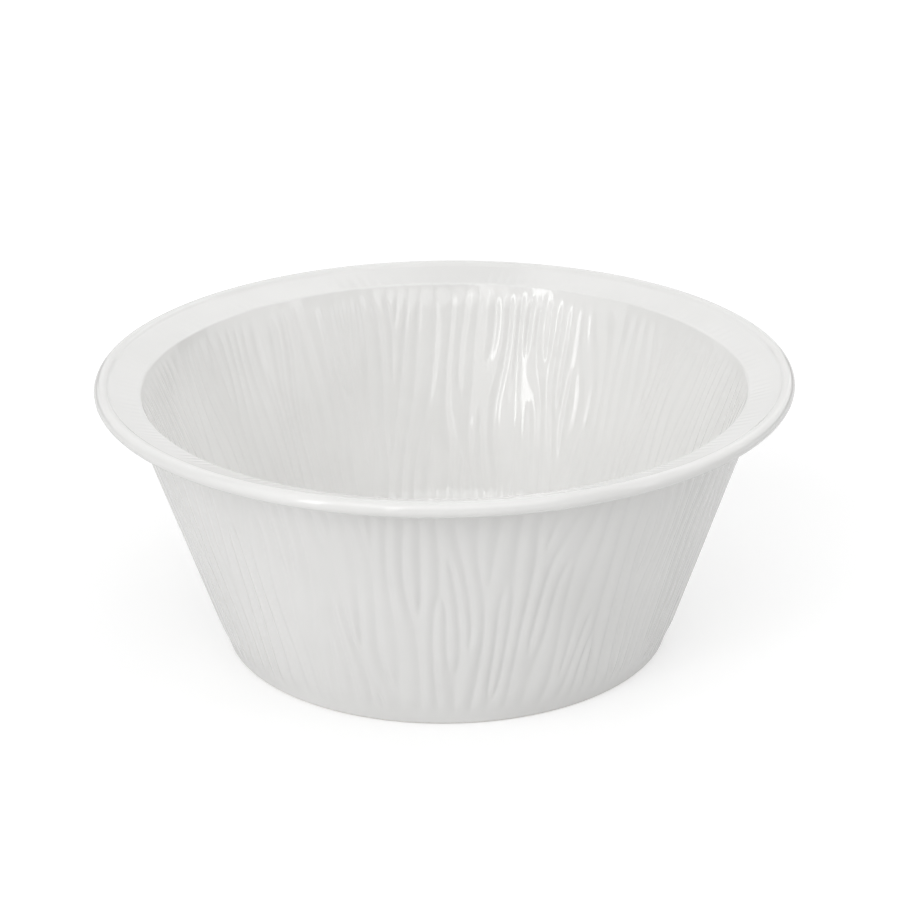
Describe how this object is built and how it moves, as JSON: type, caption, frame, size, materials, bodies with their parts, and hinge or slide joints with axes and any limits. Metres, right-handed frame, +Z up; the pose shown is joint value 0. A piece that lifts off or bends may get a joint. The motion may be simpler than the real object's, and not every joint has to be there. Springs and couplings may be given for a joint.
{
  "type": "serving bowl",
  "caption": "Round porcelain serving bowl with straight flared sides, a gently rising flange that ends in a rounded bead, and a low foot ring under its base.",
  "frame": {"origin": "centre of the foot ring, in the plane the bowl stands on", "axes": "+Z up along the bowl's axis of revolution; X and Y are free, because the solids are round"},
  "size_m": [0.28, 0.28, 0.1137],
  "materials": {
    "fired_body": "matt bare porcelain, wiped clean of glaze",
    "white_glaze": "glossy near-white glaze"
  },
  "bodies": {
    "root": {"porcelain_body": "fired_body", "glaze_inside": "white_glaze", "glaze_rim": "white_glaze", "glaze_outside": "white_glaze", "glaze_base": "white_glaze"}
  },
  "joints": []
}
